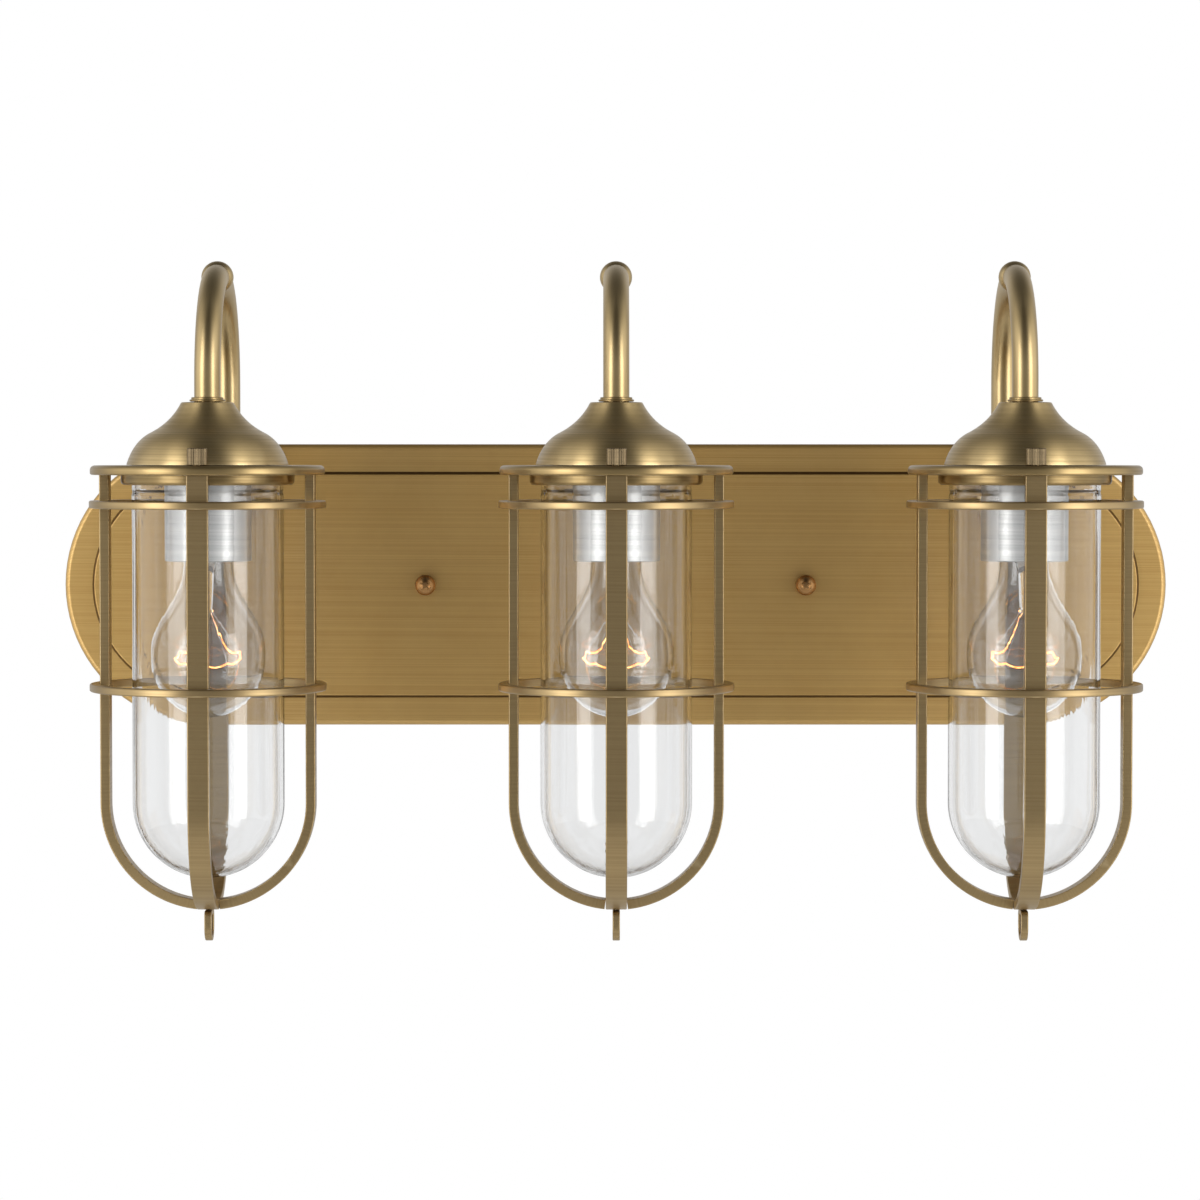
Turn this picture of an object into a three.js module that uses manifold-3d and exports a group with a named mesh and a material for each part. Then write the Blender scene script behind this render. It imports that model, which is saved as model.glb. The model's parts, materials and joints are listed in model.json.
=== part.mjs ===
// A three-light vanity bar: a stadium backplate on a mounting bar, three gooseneck arms, and on each arm a
// bell cap, a shade holder, a socket with its bulb, a clear glass jar, and a strap cage round the jar.
//
// Millimetres. +X runs along the wall, -Y faces the room and +Z is up. The origin is the centre of the
// backplate's back, on the wall. Each lamp is a group of its own, whose origin is on the lamp's axis at
// the top face of the shade holder.

import * as THREE from "three";
import { mergeVertices } from "three/addons/utils/BufferGeometryUtils.js";
import Module from "manifold-3d";

const wasm = await Module();
wasm.setup();

// ---------------------------------------------------------------- driving dimensions

const CLEARANCE = 0.3; // between pieces that touch

// Layout
const LAMP_NAMES = ["left", "centre", "right"];
const LAMP_SPACING = 212;
const HOLDER_HEIGHT = 66.6; // plate centre to the top face of the shade holders

// Backplate, an open pan with a raised panel inside a flat band
const PLATE_WIDTH = 609.6;
const PLATE_HEIGHT = 155.3;
const PLATE_DEPTH = 22;
const PLATE_WALL = 1.5;
const PLATE_EDGE = 3; // radius of the outer edge
const BAND_WIDTH = 15.3;
const STEP_RISE = 3;
const STEP_RUN = 2.5;

// Mounting bar with two studs, and the ball nuts that hold the backplate
const BAR_LENGTH = 236;
const BAR_WIDTH = 26;
const BAR_THICKNESS = 2;
const BOX_SLOT_SPACING = 84;
const BOX_SLOT_LENGTH = 24;
const BOX_SLOT_WIDTH = 5;
const STUD_SPACING = 209.6;
const STUD_RADIUS = 2;
const STUD_ENGAGEMENT = 7; // how far a stud stands out of the backplate
const BALL_NUT_RADIUS = 5.75;
const BALL_NUT_HEIGHT = 10.6;
const BALL_NUT_SKIRT_RADIUS = 4.6;
const BALL_NUT_SKIRT_HEIGHT = 1.6;
const GROUND_SCREW_X = 75;
const GROUND_HEAD_RADIUS = 4;
const GROUND_HEAD_HEIGHT = 2.4;
const GROUND_SHANK_RADIUS = 1.7;

// Gooseneck arm
const TUBE_RADIUS = 6.8;
const TUBE_WALL = 1.3;
const ARM_SPAN = 113; // back leg to front leg, between axes
const LEG_STANDOFF = 18; // backplate face to the back leg's axis
const ARM_FOOT_HEIGHT = 45; // plate centre to the foot
const ARM_SPRING_HEIGHT = 43.2; // holder top to where the arch begins
const ELBOW_RADIUS = 16;
const FOOT_RADIUS = 17;
const FOOT_THICKNESS = 5;
const FOOT_EDGE = 2.5;
const ARM_TAIL = 8; // length inside the backplate
const ARM_TONGUE = 6; // length inside the bell cap
const ARM_COLLAR_WALL = 1.4;
const ARM_COLLAR_WIDTH = 9;

// Bell cap and its washer
const CAP_HEIGHT = 32.4;
const CAP_TOP_RADIUS = 13.5;
const CAP_CREASE_INSET = 11.9; // rim to crease, across
const CAP_CREASE_HEIGHT = 16.4;
const CAP_NUT_GAP = 6.4; // rim to the thumb nuts
const CAP_SKIRT = 0.5; // straight part of the rim
const CAP_WAIST_RADIUS = 18.8; // the point that draws the concave part in
const CAP_WAIST_HEIGHT = 21.9;
const CAP_HIP_INSET = 3.5; // rim to the point that draws the convex part out, across
const CAP_HIP_HEIGHT = 11.8;
const CAP_WALL = 1.2;
const WASHER_RIM = 2.45; // how far the washer stands out from the tube
const WASHER_HEIGHT = 2.3;
const WASHER_STEP = 0.8;

// Shade holder: a turned-down disc with a neck ring under it
const HOLDER_OVERHANG = 4.9; // past the cage
const HOLDER_DEPTH = 4.9;
const HOLDER_WALL = 1.5;
const NECK_RING_WALL = 3.9;
const NECK_RING_DEPTH = 10.1;
const WIRE_HOLE = 5; // radius

// Glass jar
const JAR_RADIUS = 39.4;
const JAR_LENGTH = 212.7;
const JAR_WALL = 2;
const JAR_THREAD = 1; // how far the neck's thread stands out
const JAR_THREAD_HEIGHT = 4;
const JAR_THREAD_FIT = 0.6; // thread to neck ring

// Socket
const CUP_RADIUS = 22.5;
const CUP_LENGTH = 47.8;
const CUP_WALL = 1.2;
const CUP_SHOULDER = 5;
const CORE_RECESS = 2; // cup's mouth to the core's
const CORE_BORE_DEPTH = 26.9;
const BASE_FIT = 0.5; // bulb base to the core's bore

// Bulb
const BULB_LENGTH = 110; // tip to contact
const BULB_RADIUS = 30;
const BULB_DOME = 32.4; // tip to the widest place
const BULB_NECK_RADIUS = 12.8;
const BULB_NECK_LENGTH = 4; // straight part above the base
const BULB_SHOULDER = 0.45; // how far its curve is drawn out, as a share of its length
const BULB_GLASS_WALL = 0.9;
const BASE_RADIUS = 13.1;
const BASE_SHELL_LENGTH = 19.5;
const BASE_LENGTH = 24.6;
const CONTACT_RADIUS = 5;

// Cage
const CAGE_GAP = 11.4; // jar to the straps
const STRAP_WIDTH = 11;
const STRAP_THICKNESS = 5;
const RING_THICKNESS = 5.2;
const RING_HEIGHT = 4;
const UPPER_RING_DROP = 20.2; // holder top to the ring's middle
const LOWER_RING_DROP = 115;
const EYE_WIDTH = 16;
const EYE_HEIGHT = 16.2;
const EYE_STRIP = 2.5;
const EYE_THICKNESS = 3.8;
const CAGE_STUD_RADIUS = 2;
const CAGE_STUD_LENGTH = 7.2; // above the holder
const STUD_FIT = 0.5; // stud to the holes and bores round it
const THUMB_NUT_RADIUS = 5.1;
const THUMB_NUT_HEIGHT = 8.7;
const NUT_CHAMFER = 0.8;

// Sides and steps of the round shapes
const FINE = 36;
const ROUND = 20;
const MEDIUM = 16;
const SMALL = 12;
const TUBE_SIDES = 8;
const BORE_SIDES = 5;
const ARM_STEPS = 26;
const ARC_STEPS = 4;
const CURVE_STEPS = 3;

// ---------------------------------------------------------------- places that follow from them

const plateRadius = PLATE_HEIGHT / 2;
const plateReach = (PLATE_WIDTH - PLATE_HEIGHT) / 2; // plate centre to the centre of a round end
const lampReach = PLATE_DEPTH + LEG_STANDOFF + ARM_SPAN; // wall to the lamps' axes
const capBase = CLEARANCE;
const capTop = capBase + CAP_HEIGHT;
const seat = -HOLDER_WALL - CLEARANCE; // what hangs from the holder starts here
const jarFloor = seat - JAR_LENGTH;
const domeCentre = jarFloor + JAR_RADIUS;
const coreTop = seat - CUP_WALL - CLEARANCE;
const coreMouth = seat - CUP_LENGTH + CORE_RECESS;
const coreBoreEnd = coreMouth + CORE_BORE_DEPTH;
const bulbContact = coreBoreEnd - CLEARANCE;
const bulbTip = bulbContact - BULB_LENGTH;
const bulbBaseFoot = bulbContact - BASE_LENGTH;
const strapInner = JAR_RADIUS + CAGE_GAP;
const strapOuter = strapInner + STRAP_THICKNESS;
const strapMiddle = strapInner + STRAP_THICKNESS / 2;
const holderRadius = strapOuter + HOLDER_OVERHANG;
const capRadius = strapMiddle - THUMB_NUT_RADIUS - CAP_NUT_GAP;
const neckBore = JAR_RADIUS + JAR_THREAD + JAR_THREAD_FIT;

// ---------------------------------------------------------------- materials

const metal = (color, roughness) =>
  new THREE.MeshStandardMaterial({ color, roughness, metalness: 1 });

const agedBrass = metal(0x8a7045, 0.4);
const darkBronze = metal(0x6b5a47, 0.38);
const coppery = metal(0xa0694a, 0.3);
const nickel = metal(0xb9b6ae, 0.3);
const zincSteel = metal(0xa8abad, 0.45);
const greenSteel = metal(0x3f7a4a, 0.45);
const porcelain = new THREE.MeshStandardMaterial({ color: 0xe8e4da, roughness: 0.25 });
const clearGlass = new THREE.MeshStandardMaterial({
  color: 0xeef2f2,
  roughness: 0.05,
  transparent: true,
  opacity: 0.3,
});

// ---------------------------------------------------------------- shape helpers

// Where a flat outline's x and y go, and the way it is extruded.
const acrossX = basis([0, 1, 0], [0, 0, 1], [1, 0, 0]);
const acrossY = basis([1, 0, 0], [0, 0, 1], [0, -1, 0]);

function basis(x, y, z) {
  return new THREE.Matrix4().makeBasis(
    new THREE.Vector3(...x),
    new THREE.Vector3(...y),
    new THREE.Vector3(...z),
  );
}

const at = (x, y) => new THREE.Vector2(x, y);

// An open profile with a wall of even thickness behind it, as one outline. The wall lies to the left of
// the way that the profile runs, or to the right where it is negative.
function walled(profile, wall) {
  const normals = profile.slice(1).map((point, i) => {
    const along = point.clone().sub(profile[i]).normalize();
    return at(-along.y, along.x);
  });
  const behind = profile.map((point, i) => {
    const before = normals[Math.max(i - 1, 0)];
    const after = normals[Math.min(i, normals.length - 1)];
    const mitre = before.clone().add(after).normalize();
    return point.clone().addScaledVector(mitre, wall / mitre.dot(before));
  });
  const outline = [...profile, ...behind.reverse()];
  if (profile[0].x > 0 && profile.at(-1).x > 0) outline.push(profile[0].clone());
  return outline;
}

// An outline of radius and height, turned about Z. A profile that ends on the axis is put in order, so
// that it starts and ends there.
function turned(outline, sides, start = 0) {
  const points = THREE.ShapeUtils.area(outline) > 0 ? outline : [...outline].reverse();
  const geometry = new THREE.LatheGeometry(points, sides, start);
  return geometry.rotateX(Math.PI / 2);
}

function rod(radius, from, to, sides = SMALL) {
  const length = to - from;
  const geometry = new THREE.CylinderGeometry(radius, radius, length, sides);
  return geometry.rotateX(Math.PI / 2).translate(0, 0, (from + to) / 2);
}

// A rod along Y, from one depth in front of the wall to another.
function pegFromWall(radius, from, to, x, z, sides = SMALL) {
  return rod(radius, from, to, sides).rotateX(Math.PI / 2).translate(x, 0, z);
}

function extruded(shape, depth, place, curveSegments = ROUND / 2) {
  const geometry = new THREE.ExtrudeGeometry(shape, { depth, curveSegments, bevelEnabled: false });
  return geometry.translate(0, 0, -depth / 2).applyMatrix4(place);
}

function solid(geometry) {
  const bare = geometry.index ? geometry.toNonIndexed() : geometry.clone();
  bare.deleteAttribute("normal");
  bare.deleteAttribute("uv");
  const merged = mergeVertices(bare);
  return new wasm.Manifold(
    new wasm.Mesh({
      numProp: 3,
      vertProperties: merged.getAttribute("position").array,
      triVerts: new Uint32Array(merged.index.array),
    }),
  );
}

function geometryOf(manifold) {
  const { numProp, vertProperties, triVerts } = manifold.getMesh();
  const geometry = new THREE.BufferGeometry();
  geometry.setAttribute("position", new THREE.BufferAttribute(vertProperties, numProp));
  geometry.setIndex(new THREE.BufferAttribute(triVerts, 1));
  return geometry;
}

// The first geometry with the rest joined to it, and with the cuts taken away.
function built(pieces, cuts = []) {
  let whole = pieces.map(solid).reduce((sum, piece) => sum.add(piece));
  for (const cut of cuts) whole = whole.subtract(solid(cut));
  return geometryOf(whole);
}

function piece(name, geometry, material) {
  const mesh = new THREE.Mesh(geometry, material);
  mesh.name = name;
  return mesh;
}

// ---------------------------------------------------------------- backplate and mounting

// The pan, as a turned wall whose two halves are pulled apart along X to make the straight sides.
function backplate() {
  const bandDepth = PLATE_DEPTH - STEP_RISE;
  const edge = new THREE.Path();
  edge.moveTo(0, PLATE_DEPTH);
  edge.lineTo(plateRadius - BAND_WIDTH - STEP_RUN, PLATE_DEPTH);
  edge.lineTo(plateRadius - BAND_WIDTH, bandDepth);
  edge.lineTo(plateRadius - PLATE_EDGE, bandDepth);
  edge.absarc(plateRadius - PLATE_EDGE, bandDepth - PLATE_EDGE, PLATE_EDGE, Math.PI / 2, 0, true);
  edge.lineTo(plateRadius, 0);
  const outline = walled(edge.getPoints(2), -PLATE_WALL);
  const start = Math.PI / FINE; // keeps every corner off the middle
  const pan = turned(outline, FINE, start);
  const corners = pan.getAttribute("position");
  for (let i = 0; i < corners.count; i += 1) {
    const turn = start + (2 * Math.PI * Math.floor(i / outline.length)) / FINE;
    corners.setX(i, corners.getX(i) + Math.sign(Math.sin(turn)) * plateReach);
  }
  pan.rotateX(Math.PI / 2);
  const through = (radius, x, z, sides) => pegFromWall(radius, -1, PLATE_DEPTH + 1, x, z, sides);
  const holes = LAMP_NAMES.map((_, i) =>
    through(TUBE_RADIUS + CLEARANCE, (i - 1) * LAMP_SPACING, ARM_FOOT_HEIGHT, MEDIUM),
  );
  for (const side of [-1, 1]) {
    holes.push(through(STUD_RADIUS + STUD_FIT, (side * STUD_SPACING) / 2, 0));
  }
  return built([pan], holes);
}

// A slot outline, longer along X.
function slot(length, width, x) {
  const half = (length - width) / 2;
  const outline = new THREE.Shape();
  outline.absarc(x + half, 0, width / 2, -Math.PI / 2, Math.PI / 2, false);
  outline.absarc(x - half, 0, width / 2, Math.PI / 2, (3 * Math.PI) / 2, false);
  return outline;
}

function mountingBar() {
  const outline = slot(BAR_LENGTH, BAR_WIDTH, 0);
  const screwHole = GROUND_SHANK_RADIUS + CLEARANCE;
  const groundHole = new THREE.Path().absarc(GROUND_SCREW_X, 0, screwHole, 0, 2 * Math.PI);
  outline.holes.push(groundHole);
  for (const side of [-1, 1]) {
    outline.holes.push(slot(BOX_SLOT_LENGTH, BOX_SLOT_WIDTH, (side * BOX_SLOT_SPACING) / 2));
  }
  const plate = extruded(outline, BAR_THICKNESS, acrossY, ARC_STEPS);
  plate.translate(0, -BAR_THICKNESS / 2, 0);
  const studs = [-1, 1].map((side) =>
    pegFromWall(
      STUD_RADIUS,
      BAR_THICKNESS / 2,
      PLATE_DEPTH + STUD_ENGAGEMENT,
      (side * STUD_SPACING) / 2,
      0,
    ),
  );
  return built([plate, ...studs]);
}

// A ball nut, turned about Z with its flat foot at height 0.
function ballNut() {
  const bore = STUD_RADIUS + STUD_FIT;
  const boreEnd = STUD_ENGAGEMENT + STUD_FIT;
  const centre = BALL_NUT_HEIGHT - BALL_NUT_RADIUS;
  const below = centre - BALL_NUT_SKIRT_HEIGHT;
  const lowest = -Math.asin(below / BALL_NUT_RADIUS);
  const outline = new THREE.Path();
  outline.moveTo(0, boreEnd);
  outline.lineTo(bore, boreEnd);
  outline.lineTo(bore, 0);
  outline.lineTo(BALL_NUT_SKIRT_RADIUS, 0);
  outline.lineTo(BALL_NUT_SKIRT_RADIUS, BALL_NUT_SKIRT_HEIGHT);
  outline.absarc(0, centre, BALL_NUT_RADIUS, lowest, Math.PI / 2, false);
  return turned(outline.getPoints(ARC_STEPS / 2), SMALL);
}

// A pan-head screw, turned about Z with its head's underside at height 0.
function groundScrew() {
  const outline = [
    at(0, CLEARANCE - BAR_THICKNESS),
    at(GROUND_SHANK_RADIUS, CLEARANCE - BAR_THICKNESS),
    at(GROUND_SHANK_RADIUS, 0),
    at(GROUND_HEAD_RADIUS, 0),
    at(GROUND_HEAD_RADIUS, GROUND_HEAD_HEIGHT / 2),
    at(GROUND_HEAD_RADIUS - NUT_CHAMFER, GROUND_HEAD_HEIGHT),
    at(0, GROUND_HEAD_HEIGHT),
  ];
  return turned(outline, SMALL);
}

// Puts a piece that is turned about Z on a face in front of the wall, pointing into the room.
function facingRoom(mesh, x, depth) {
  mesh.rotation.x = Math.PI / 2;
  mesh.position.set(x, -depth, 0);
  return mesh;
}

// ---------------------------------------------------------------- arm

// A flat path in the plane of depth and height.
class DepthCurve extends THREE.Curve {
  constructor(path) {
    super();
    this.path = path;
  }

  getPoint(t, target = new THREE.Vector3()) {
    const point = this.path.getPoint(t);
    return target.set(0, point.x, point.y);
  }
}

// The tube from inside the backplate, up the back leg, over the arch and down into the bell cap, with the
// round foot that is brazed on where it leaves the plate.
function arm() {
  const foot = ARM_FOOT_HEIGHT - HOLDER_HEIGHT;
  const plateFace = ARM_SPAN + LEG_STANDOFF;
  const elbowStart = ARM_SPAN + ELBOW_RADIUS;
  const archRadius = ARM_SPAN / 2;
  const path = new THREE.Path();
  path.moveTo(plateFace + ARM_TAIL, foot);
  path.lineTo(elbowStart, foot);
  path.absarc(elbowStart, foot + ELBOW_RADIUS, ELBOW_RADIUS, -Math.PI / 2, -Math.PI, true);
  path.lineTo(ARM_SPAN, ARM_SPRING_HEIGHT);
  path.absarc(archRadius, ARM_SPRING_HEIGHT, archRadius, 0, Math.PI, false);
  path.lineTo(0, capTop - ARM_TONGUE);
  const section = new THREE.Shape();
  section.absarc(0, 0, TUBE_RADIUS, 0, 2 * Math.PI);
  const bore = Array.from({ length: BORE_SIDES }, (_, i) => {
    const turn = (2 * Math.PI * i) / BORE_SIDES;
    return at(Math.cos(turn), Math.sin(turn)).multiplyScalar(TUBE_RADIUS - TUBE_WALL);
  });
  section.holes.push(new THREE.Path(bore));
  const tube = new THREE.ExtrudeGeometry(section, {
    steps: ARM_STEPS,
    curveSegments: TUBE_SIDES / 2,
    extrudePath: new DepthCurve(path),
  });
  const disc = new THREE.Path();
  disc.moveTo(TUBE_RADIUS - TUBE_WALL / 2, 0);
  disc.lineTo(FOOT_RADIUS, 0);
  disc.lineTo(FOOT_RADIUS, FOOT_THICKNESS - FOOT_EDGE);
  disc.absarc(FOOT_RADIUS - FOOT_EDGE, FOOT_THICKNESS - FOOT_EDGE, FOOT_EDGE, 0, Math.PI / 2, false);
  disc.lineTo(TUBE_RADIUS - TUBE_WALL / 2, FOOT_THICKNESS);
  disc.closePath();
  const flange = turned(disc.getPoints(2), MEDIUM);
  flange.rotateX(Math.PI / 2).translate(0, plateFace - CLEARANCE, foot);
  return built([tube, flange]);
}

// A half-round ring for the top of the arch, turned about Z. The curved tube leans a little inside it.
function armCollar() {
  const half = ARM_COLLAR_WIDTH / 2;
  const lean = half ** 2 / ARM_SPAN;
  const bore = (TUBE_RADIUS + CLEARANCE + lean) / Math.cos(Math.PI / SMALL);
  const crown = TUBE_RADIUS + ARM_COLLAR_WALL;
  const outline = new THREE.Path();
  outline.moveTo(bore, -half);
  outline.quadraticCurveTo(crown + ARM_COLLAR_WALL, 0, bore, half);
  outline.lineTo(bore, -half);
  return turned(outline.getPoints(ARC_STEPS), SMALL);
}

// ---------------------------------------------------------------- cap and holder

// Two stacked rings, the upper one narrower.
function capWasher() {
  const foot = capTop + CLEARANCE;
  const bore = TUBE_RADIUS + CLEARANCE;
  const rim = TUBE_RADIUS + WASHER_RIM;
  const outline = [
    at(bore, foot),
    at(rim, foot),
    at(rim, foot + WASHER_HEIGHT / 2),
    at(rim - WASHER_STEP, foot + WASHER_HEIGHT / 2),
    at(rim - WASHER_STEP, foot + WASHER_HEIGHT),
    at(bore, foot + WASHER_HEIGHT),
    at(bore, foot),
  ];
  return turned(outline, MEDIUM);
}

// A bell: a convex skirt up to the crease, then a concave cone up to the flat top.
function bellCap() {
  const crease = capBase + CAP_CREASE_HEIGHT;
  const hip = capRadius - CAP_HIP_INSET;
  const path = new THREE.Path();
  path.moveTo(capRadius, capBase);
  path.lineTo(capRadius, capBase + CAP_SKIRT);
  path.quadraticCurveTo(hip, capBase + CAP_HIP_HEIGHT, capRadius - CAP_CREASE_INSET, crease);
  path.quadraticCurveTo(CAP_WAIST_RADIUS, capBase + CAP_WAIST_HEIGHT, CAP_TOP_RADIUS, capTop);
  path.lineTo(TUBE_RADIUS + CLEARANCE, capTop);
  return turned(walled(path.getPoints(CURVE_STEPS), CAP_WALL), ROUND);
}

// A disc with its edge rolled down past the straps' ends, and a ring under it for the jar's neck.
function shadeHolder() {
  const edge = HOLDER_DEPTH / 2;
  const ringOuter = neckBore + NECK_RING_WALL;
  const outline = new THREE.Path();
  outline.moveTo(WIRE_HOLE, 0);
  outline.lineTo(WIRE_HOLE, -HOLDER_WALL);
  outline.lineTo(neckBore, -HOLDER_WALL);
  outline.lineTo(neckBore, -NECK_RING_DEPTH);
  outline.lineTo(ringOuter, -NECK_RING_DEPTH);
  outline.lineTo(ringOuter, -HOLDER_WALL);
  outline.lineTo(holderRadius - edge, -HOLDER_WALL);
  outline.lineTo(holderRadius - edge, -HOLDER_DEPTH);
  outline.absarc(holderRadius - edge, -edge, edge, -Math.PI / 2, Math.PI / 2, false);
  outline.lineTo(WIRE_HOLE, 0);
  const disc = turned(outline.getPoints(2), ROUND);
  const holes = [-1, 1].map((side) =>
    rod(CAGE_STUD_RADIUS + STUD_FIT, -HOLDER_DEPTH, 1).translate(0, side * strapMiddle, 0),
  );
  return built([disc], holes);
}

// ---------------------------------------------------------------- socket, bulb and jar

function socketCup() {
  const path = new THREE.Path();
  path.moveTo(CUP_RADIUS, seat - CUP_LENGTH);
  path.lineTo(CUP_RADIUS, seat - CUP_SHOULDER);
  path.absarc(CUP_RADIUS - CUP_SHOULDER, seat - CUP_SHOULDER, CUP_SHOULDER, 0, Math.PI / 2, false);
  path.lineTo(WIRE_HOLE, seat);
  return turned(walled(path.getPoints(2), CUP_WALL), MEDIUM);
}

function socketCore() {
  const radius = (CUP_RADIUS - CUP_WALL - CLEARANCE) * Math.cos(Math.PI / MEDIUM);
  const bore = BASE_RADIUS + BASE_FIT;
  const outline = [
    at(0, coreBoreEnd),
    at(bore, coreBoreEnd),
    at(bore, coreMouth),
    at(radius, coreMouth),
    at(radius, seat - CUP_SHOULDER - CUP_WALL),
    at(radius - CUP_SHOULDER, coreTop),
    at(0, coreTop),
  ];
  return turned(outline, MEDIUM);
}

function bulbGlass() {
  const widest = bulbTip + BULB_DOME;
  const rim = bulbBaseFoot - CLEARANCE;
  const neck = rim - BULB_NECK_LENGTH;
  const shoulder = (neck - widest) * BULB_SHOULDER;
  const dome = new THREE.Path();
  dome.moveTo(0, bulbTip);
  dome.absellipse(0, widest, BULB_RADIUS, BULB_DOME, -Math.PI / 2, 0, false);
  dome.bezierCurveTo(
    BULB_RADIUS,
    widest + shoulder,
    BULB_NECK_RADIUS,
    neck - shoulder,
    BULB_NECK_RADIUS,
    neck,
  );
  dome.lineTo(BULB_NECK_RADIUS, rim);
  const outline = walled(dome.getPoints(2), BULB_GLASS_WALL);
  outline.at(-1).x = 0;
  return turned(outline, MEDIUM);
}

function bulbBase() {
  const outline = [
    at(0, bulbBaseFoot),
    at(BASE_RADIUS, bulbBaseFoot),
    at(BASE_RADIUS, bulbBaseFoot + BASE_SHELL_LENGTH),
    at(CONTACT_RADIUS, bulbContact - 1),
    at(CONTACT_RADIUS, bulbContact),
    at(0, bulbContact),
  ];
  return turned(outline, SMALL);
}

// A round-bottomed jar, with a raised thread round its neck inside the neck ring.
function jar() {
  const threadFoot = seat - JAR_THREAD_HEIGHT;
  const bowl = new THREE.Path();
  bowl.moveTo(0, jarFloor);
  bowl.absarc(0, domeCentre, JAR_RADIUS, -Math.PI / 2, 0, false);
  bowl.lineTo(JAR_RADIUS, threadFoot);
  const outline = walled(bowl.getPoints(CURVE_STEPS), JAR_WALL);
  outline.at(-1).x = 0;
  const rim = outline.findIndex((point) => point.y === threadFoot);
  outline.splice(
    rim + 1,
    1,
    at(JAR_RADIUS + JAR_THREAD, threadFoot + JAR_THREAD),
    at(JAR_RADIUS + JAR_THREAD, seat),
    at(JAR_RADIUS - JAR_WALL, seat),
  );
  return turned(outline, ROUND);
}

// ---------------------------------------------------------------- cage

// The strap that runs down the front, under the jar and up the back, with a stud on each end.
function cageStrap() {
  const outline = new THREE.Shape();
  outline.moveTo(strapOuter, seat);
  outline.lineTo(strapInner, seat);
  outline.lineTo(strapInner, domeCentre);
  outline.absarc(0, domeCentre, strapInner, 0, Math.PI, true);
  outline.lineTo(-strapInner, seat);
  outline.lineTo(-strapOuter, seat);
  outline.lineTo(-strapOuter, domeCentre);
  outline.absarc(0, domeCentre, strapOuter, Math.PI, 2 * Math.PI, false);
  const studs = [-1, 1].map((side) =>
    rod(CAGE_STUD_RADIUS, seat - STRAP_THICKNESS, CAGE_STUD_LENGTH).translate(0, side * strapMiddle, 0),
  );
  return built([extruded(outline, STRAP_WIDTH, acrossX), ...studs]);
}

// A side strap, which ends against the strap under the jar.
function cageSideStrap() {
  const seam = STRAP_WIDTH / 2 + CLEARANCE;
  const outline = new THREE.Shape();
  outline.moveTo(strapOuter, seat);
  outline.lineTo(strapInner, seat);
  outline.lineTo(strapInner, domeCentre);
  outline.absarc(0, domeCentre, strapInner, 0, -Math.acos(seam / strapInner), true);
  outline.absarc(0, domeCentre, strapOuter, -Math.acos(seam / strapOuter), 0, false);
  return extruded(outline, STRAP_WIDTH, acrossY, ROUND / 4);
}

// A hoop outside the four straps, with a flat of its inner side against each of them.
function cageRing(drop) {
  const corner = Math.cos(Math.PI / ROUND);
  const inner = (strapOuter + CLEARANCE) / corner;
  const outer = inner + RING_THICKNESS / corner;
  const outline = [
    at(inner, -drop - RING_HEIGHT / 2),
    at(outer, -drop - RING_HEIGHT / 2),
    at(outer, -drop + RING_HEIGHT / 2),
    at(inner, -drop + RING_HEIGHT / 2),
    at(inner, -drop - RING_HEIGHT / 2),
  ];
  return turned(outline, ROUND, Math.PI / ROUND);
}

// A flat strip bent into a loop, under the middle of the cage.
function eyeOutline(Outline, inset, top) {
  const half = EYE_WIDTH / 2;
  const outline = new Outline();
  outline.moveTo(half - inset, top - inset);
  outline.lineTo(inset - half, top - inset);
  outline.lineTo(inset - half, top - EYE_HEIGHT + half);
  outline.absarc(0, top - EYE_HEIGHT + half, half - inset, Math.PI, 2 * Math.PI, false);
  return outline;
}

function cageEye() {
  const top = domeCentre - strapOuter - CLEARANCE;
  const outline = eyeOutline(THREE.Shape, 0, top);
  outline.holes.push(eyeOutline(THREE.Path, EYE_STRIP, top));
  return extruded(outline, EYE_THICKNESS, acrossX, ARC_STEPS);
}

function thumbNut() {
  const bore = CAGE_STUD_RADIUS + STUD_FIT;
  const boreEnd = CAGE_STUD_LENGTH + STUD_FIT;
  const top = CLEARANCE + THUMB_NUT_HEIGHT;
  const outline = [
    at(0, boreEnd),
    at(bore, boreEnd),
    at(bore, CLEARANCE),
    at(THUMB_NUT_RADIUS, CLEARANCE),
    at(THUMB_NUT_RADIUS, top - NUT_CHAMFER),
    at(THUMB_NUT_RADIUS - NUT_CHAMFER, top),
    at(0, top),
  ];
  return turned(outline, SMALL);
}

// ---------------------------------------------------------------- assembly

function wallParts() {
  const group = new THREE.Group();
  const plateFront = PLATE_DEPTH + CLEARANCE;
  group.add(piece("backplate", backplate(), agedBrass));
  group.add(piece("mounting_bar", mountingBar(), zincSteel));
  const screw = piece("ground_screw", groundScrew(), greenSteel);
  group.add(facingRoom(screw, GROUND_SCREW_X, BAR_THICKNESS + CLEARANCE));
  for (const [side, x] of [["left", -STUD_SPACING / 2], ["right", STUD_SPACING / 2]]) {
    const nut = piece(`ball_nut_${side}`, ballNut(), coppery);
    group.add(facingRoom(nut, x, plateFront));
  }
  return group;
}

function cage(name) {
  const group = new THREE.Group();
  group.add(piece(`${name}_cage_strap`, cageStrap(), darkBronze));
  group.add(piece(`${name}_cage_side_right`, cageSideStrap(), darkBronze));
  const leftSide = piece(`${name}_cage_side_left`, cageSideStrap(), darkBronze);
  leftSide.rotation.z = Math.PI;
  group.add(leftSide);
  group.add(piece(`${name}_cage_ring_upper`, cageRing(UPPER_RING_DROP), darkBronze));
  group.add(piece(`${name}_cage_ring_lower`, cageRing(LOWER_RING_DROP), darkBronze));
  group.add(piece(`${name}_cage_eye`, cageEye(), darkBronze));
  return group;
}

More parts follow.
